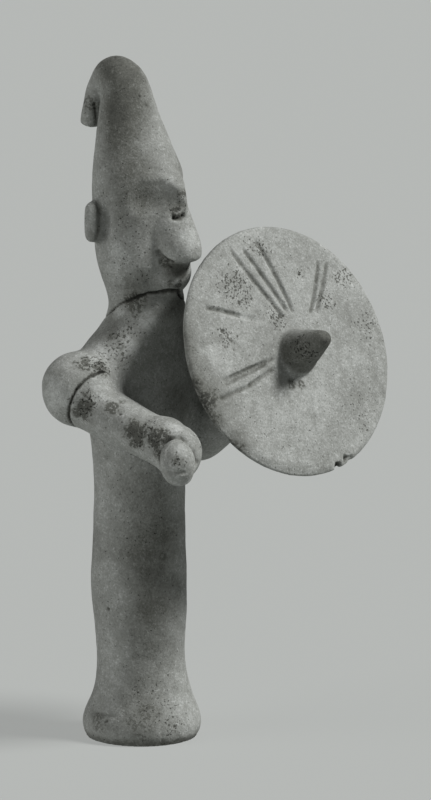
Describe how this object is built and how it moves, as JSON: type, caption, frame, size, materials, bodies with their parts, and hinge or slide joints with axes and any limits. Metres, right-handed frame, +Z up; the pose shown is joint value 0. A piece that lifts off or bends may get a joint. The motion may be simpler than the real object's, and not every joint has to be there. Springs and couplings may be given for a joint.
{
  "type": "terracotta warrior figurine",
  "caption": "Hand-modelled terracotta warrior on a flared round foot, with a tall curled cap, forearms held forward and a spiked round shield.",
  "frame": {"origin": "middle of the flat underside of the foot, on the trunk's axis", "axes": "+Z up the figure, -Y the way it faces, +X to its left, where the shield is"},
  "size_m": [0.103, 0.0764, 0.2091],
  "materials": {
    "terracotta": "matt, weathered, unglazed"
  },
  "bodies": {
    "root": {"warrior_figurine": "terracotta"}
  },
  "joints": []
}
